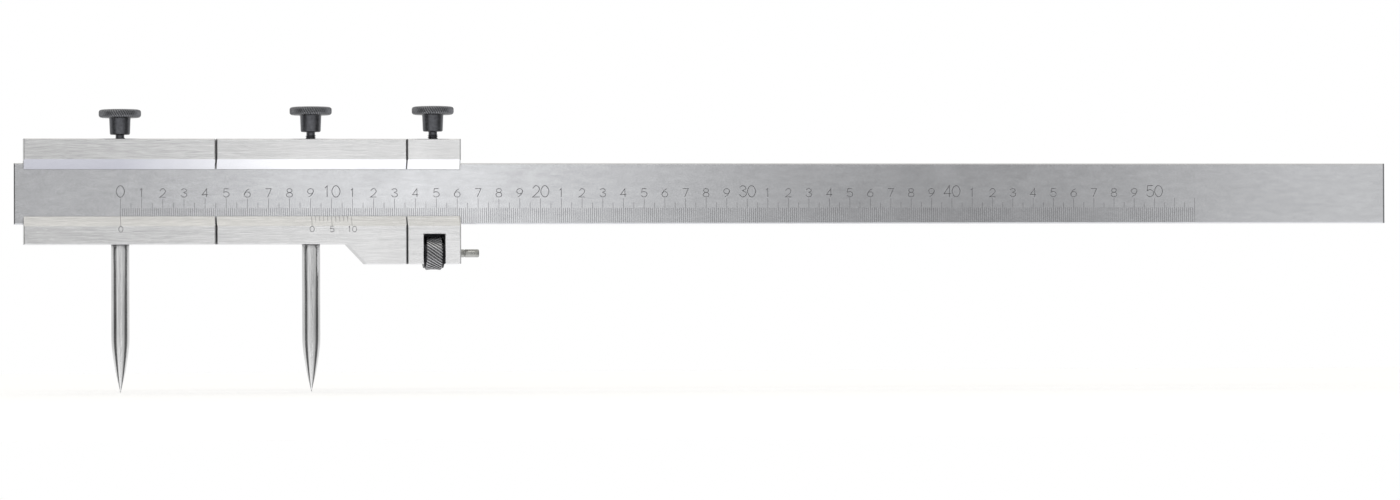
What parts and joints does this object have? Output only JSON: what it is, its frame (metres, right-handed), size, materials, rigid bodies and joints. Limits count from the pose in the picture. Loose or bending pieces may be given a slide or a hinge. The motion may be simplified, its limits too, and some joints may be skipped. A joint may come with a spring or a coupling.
{
  "type": "beam trammel",
  "caption": "Beam trammel with a graduated steel bar, a zero head, a vernier head with fine adjustment, thumb screws and hardened scriber points.",
  "frame": {"origin": "tip of the zero point, in the plane that both points stand on", "axes": "+X along the beam from the zero point to the vernier point, +Y from the graduated front to the back, +Z from the points' tips up to the thumb screws"},
  "size_m": [0.665, 0.02, 0.1358],
  "materials": {
    "beam_steel": "finely ground along the bar",
    "head_steel": "ground, satin",
    "black_steel": "blackened, slightly worn on the knurl",
    "point_steel": "hardened and polished",
    "nut_steel": "blackened, bright on the worn crests",
    "spindle_steel": "turned",
    "gib_bronze": "rolled strip",
    "pad_brass": "turned",
    "set_screw_steel": "black oxide"
  },
  "bodies": {
    "zero_head": {"zero_head_body": "head_steel", "zero_gib_strip": "gib_bronze", "zero_gib_screws": "set_screw_steel", "zero_point": "point_steel", "zero_point_lock_screw": "set_screw_steel"},
    "beam": {"beam": "beam_steel"},
    "vernier_head": {"vernier_head_body": "head_steel", "vernier_gib_strip": "gib_bronze", "vernier_gib_screws": "set_screw_steel", "vernier_point": "point_steel", "vernier_point_lock_screw": "set_screw_steel", "adjusting_spindle": "spindle_steel", "spindle_lock_screw": "set_screw_steel"},
    "carriage": {"carriage_body": "head_steel", "carriage_gib_strip": "gib_bronze", "carriage_gib_screws": "set_screw_steel"},
    "nut": {"adjusting_nut": "nut_steel"},
    "zero_pad": {"zero_pressure_pad": "pad_brass"},
    "zero_screw": {"zero_clamp_screw": "black_steel"},
    "vernier_pad": {"vernier_pressure_pad": "pad_brass"},
    "vernier_screw": {"vernier_clamp_screw": "black_steel"},
    "carriage_pad": {"carriage_pressure_pad": "pad_brass"},
    "carriage_screw": {"carriage_clamp_screw": "black_steel"}
  },
  "joints": [
    {"name": "beam_slide", "type": "slide", "parent": "zero_head", "child": "beam", "axis": [1, 0, 0], "range_m": [0, 0.04]},
    {"name": "vernier_head_slide", "type": "slide", "parent": "beam", "child": "vernier_head", "axis": [1, 0, 0], "range_m": [-0.0008, 0.4296]},
    {"name": "fine_adjustment", "type": "slide", "parent": "vernier_head", "child": "carriage", "axis": [1, 0, 0], "range_m": [-0.0005, 0.008]},
    {"name": "nut_turn", "type": "hinge", "parent": "carriage", "child": "nut", "pos_m": [0.1487, 0, 0.0656], "axis": [1, 0, 0], "range_deg": [-260, 4120]},
    {"name": "zero_clamp_travel", "type": "slide", "parent": "zero_head", "child": "zero_pad", "axis": [0, 0, 1], "range_m": [0, 0.0024]},
    {"name": "zero_screw_turn", "type": "hinge", "parent": "zero_pad", "child": "zero_screw", "pos_m": [0, 0, 0.12], "axis": [0, 0, 1], "range_deg": [0, 1085]},
    {"name": "vernier_clamp_travel", "type": "slide", "parent": "vernier_head", "child": "vernier_pad", "axis": [0, 0, 1], "range_m": [-0.0014, 0.001]},
    {"name": "vernier_screw_turn", "type": "hinge", "parent": "vernier_pad", "child": "vernier_screw", "pos_m": [0.0904, 0, 0.12], "axis": [0, 0, 1], "range_deg": [-635, 455]},
    {"name": "carriage_clamp_travel", "type": "slide", "parent": "carriage", "child": "carriage_pad", "axis": [0, 0, 1], "range_m": [-0.0017, 0.0007]},
    {"name": "carriage_screw_turn", "type": "hinge", "parent": "carriage_pad", "child": "carriage_screw", "pos_m": [0.1487, 0, 0.12], "axis": [0, 0, 1], "range_deg": [-770, 320]}
  ],
  "couplings": [
    {"joint": "nut_turn", "follows": "fine_adjustment", "rad_per_m": 8976},
    {"joint": "zero_screw_turn", "follows": "zero_clamp_travel", "rad_per_m": 7854},
    {"joint": "vernier_screw_turn", "follows": "vernier_clamp_travel", "rad_per_m": 7854},
    {"joint": "carriage_screw_turn", "follows": "carriage_clamp_travel", "rad_per_m": 7854}
  ]
}
